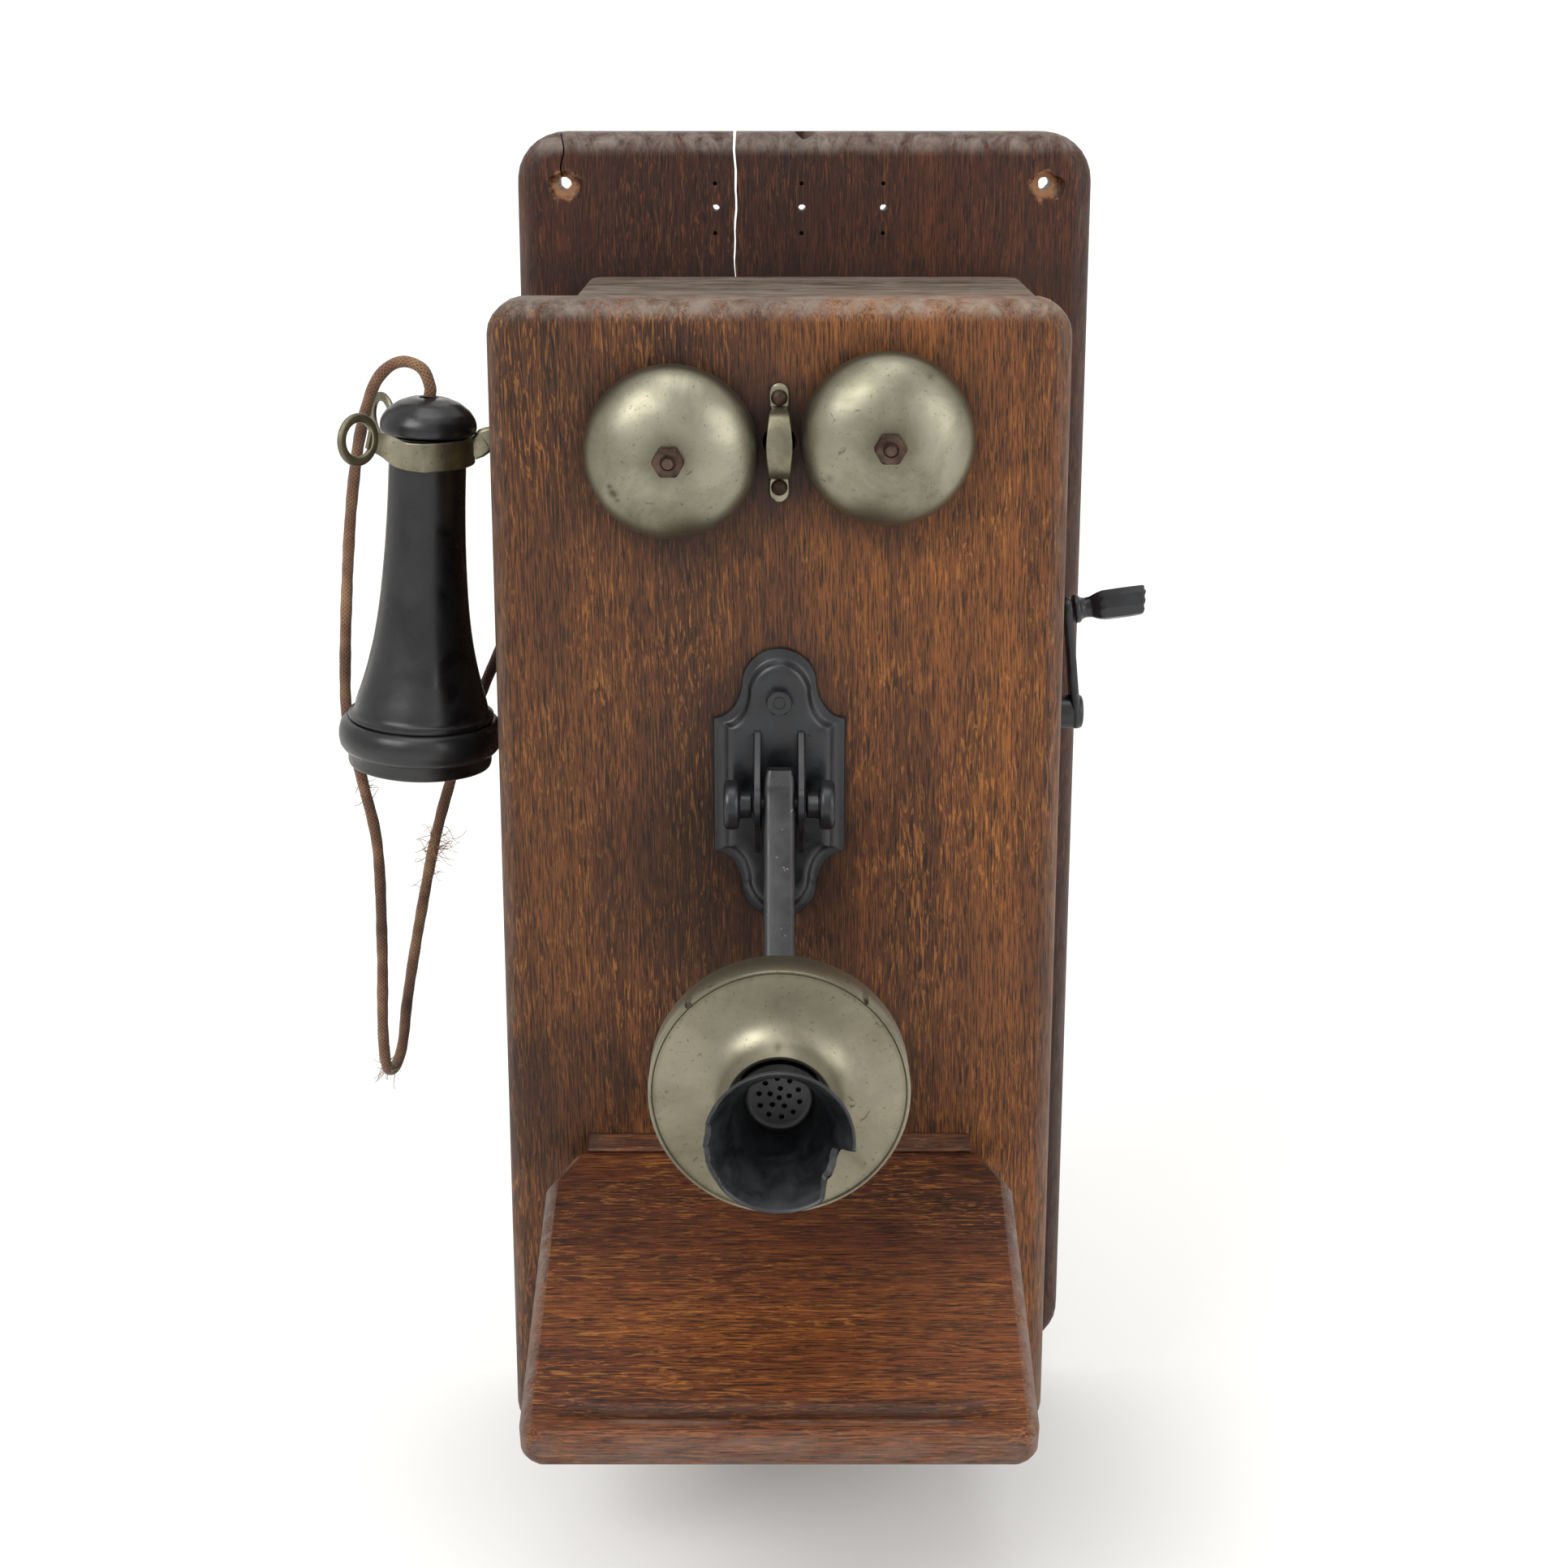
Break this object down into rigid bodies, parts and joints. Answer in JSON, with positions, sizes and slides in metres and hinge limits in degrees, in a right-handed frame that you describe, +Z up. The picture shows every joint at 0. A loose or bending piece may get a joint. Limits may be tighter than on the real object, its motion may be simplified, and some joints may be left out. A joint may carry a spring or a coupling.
{
  "type": "wall crank telephone",
  "caption": "Oak wall telephone: hinged door with bells, tilting transmitter and writing shelf, hook with a corded receiver on the left, crank on the right.",
  "frame": {"origin": "centre of the backboard's back face, where it lies against the wall", "axes": "+Z up, +Y into the wall, -Y the way the telephone faces, +X to the crank side"},
  "size_m": [0.3245, 0.319, 0.56],
  "materials": {
    "oak": "stained quarter-sawn oak under worn varnish",
    "pine": "plain soft wood",
    "nickel": "dull nickel plate over brass, tarnished",
    "black_enamel": "baked black enamel, chipped on its edges",
    "hard_rubber": "black hard rubber, worn to a soft shine",
    "brass": "plain brass",
    "steel": "plain steel",
    "iron": "dark iron",
    "silk_wire": "green silk covered wire",
    "card": "printed card sleeve, left plain",
    "braid": "brown cotton braid over tinsel wires, frayed"
  },
  "bodies": {
    "cabinet": {"backboard": "oak", "box_left_side": "oak", "box_right_side": "oak", "box_top": "oak", "box_bottom": "oak", "upper_hinge_box_leaf": "brass", "lower_hinge_box_leaf": "brass", "hook_bracket": "iron", "switch_springs": "hard_rubber", "crank_bushing": "iron", "generator_shelf": "pine", "generator_left_plate": "brass", "generator_right_plate": "brass", "front_pole_piece": "iron", "rear_pole_piece": "iron", "magnet_1": "iron", "magnet_2": "iron", "induction_coil": "silk_wire", "left_dry_cell": "card", "right_dry_cell": "card", "receiver_cord": "braid"},
    "door": {"door": "oak", "upper_hinge_door_leaf": "brass", "lower_hinge_door_leaf": "brass", "left_gong": "nickel", "right_gong": "nickel", "left_gong_post": "steel", "right_gong_post": "steel", "left_gong_nut": "iron", "right_gong_nut": "iron", "clapper_guard": "nickel", "ringer_frame": "iron", "left_ringer_coil": "silk_wire", "right_ringer_coil": "silk_wire", "shelf": "oak", "shelf_back_strip": "oak", "transmitter_bracket": "black_enamel", "pivot_bolt": "black_enamel", "upper_bracket_nut": "black_enamel", "lower_bracket_nut": "black_enamel"},
    "clapper": {"ringer_armature": "iron", "clapper": "steel"},
    "transmitter": {"transmitter_arm": "black_enamel", "transmitter_cup": "nickel", "transmitter_face": "nickel", "mouthpiece": "hard_rubber", "transmitter_diaphragm": "steel", "transmitter_button": "brass"},
    "hook": {"receiver_hook": "nickel"},
    "receiver": {"receiver_shell": "hard_rubber", "receiver_tail_cap": "hard_rubber", "receiver_ear_cap": "hard_rubber", "receiver_diaphragm": "steel", "receiver_magnet": "iron"},
    "crank": {"crank_shaft": "steel", "drive_gear": "brass", "crank_arm": "black_enamel"},
    "handle": {"crank_handle": "black_enamel"},
    "armature": {"armature": "iron", "pinion": "steel"}
  },
  "joints": [
    {"name": "door_hinge", "type": "hinge", "parent": "cabinet", "child": "door", "pos_m": [-0.0929, -0.1504, 0], "axis": [0, 0, 1], "range_deg": [-92, 0]},
    {"name": "clapper_swing", "type": "hinge", "parent": "door", "child": "clapper", "pos_m": [-0.0105, -0.133, 0.121], "axis": [0, 1, 0], "range_deg": [-3, 3], "stiffness_Nm_per_rad": 0.02},
    {"name": "transmitter_tilt", "type": "hinge", "parent": "door", "child": "transmitter", "pos_m": [-0.0105, -0.193, 0.045], "axis": [1, 0, 0], "range_deg": [-20, 20]},
    {"name": "receiver_lift", "type": "slide", "parent": "cabinet", "child": "receiver", "axis": [-0.9397, 0, 0.342], "range_m": [0, 0.13], "deforming": ["receiver_cord"]},
    {"name": "hook_lift", "type": "hinge", "parent": "cabinet", "child": "hook", "pos_m": [-0.058, -0.116, 0.1693], "axis": [0, 1, 0], "range_deg": [0, 9]},
    {"name": "crank_turn", "type": "hinge", "parent": "cabinet", "child": "crank", "pos_m": [0.1095, -0.093, 0.0525], "axis": [1, 0, 0], "continuous": true},
    {"name": "crank_handle_spin", "type": "hinge", "parent": "crank", "child": "handle", "pos_m": [0.10762, -0.093, 0.0951], "axis": [0.9903, 0, 0.1392], "continuous": true},
    {"name": "armature_spin", "type": "hinge", "parent": "cabinet", "child": "armature", "pos_m": [0.03, -0.093, 0.0237], "axis": [1, 0, 0], "continuous": true}
  ],
  "couplings": [
    {"joint": "armature_spin", "follows": "crank_turn", "ratio": -5},
    {"joint": "hook_lift", "follows": "receiver_lift", "rad_per_m": 1.2}
  ]
}
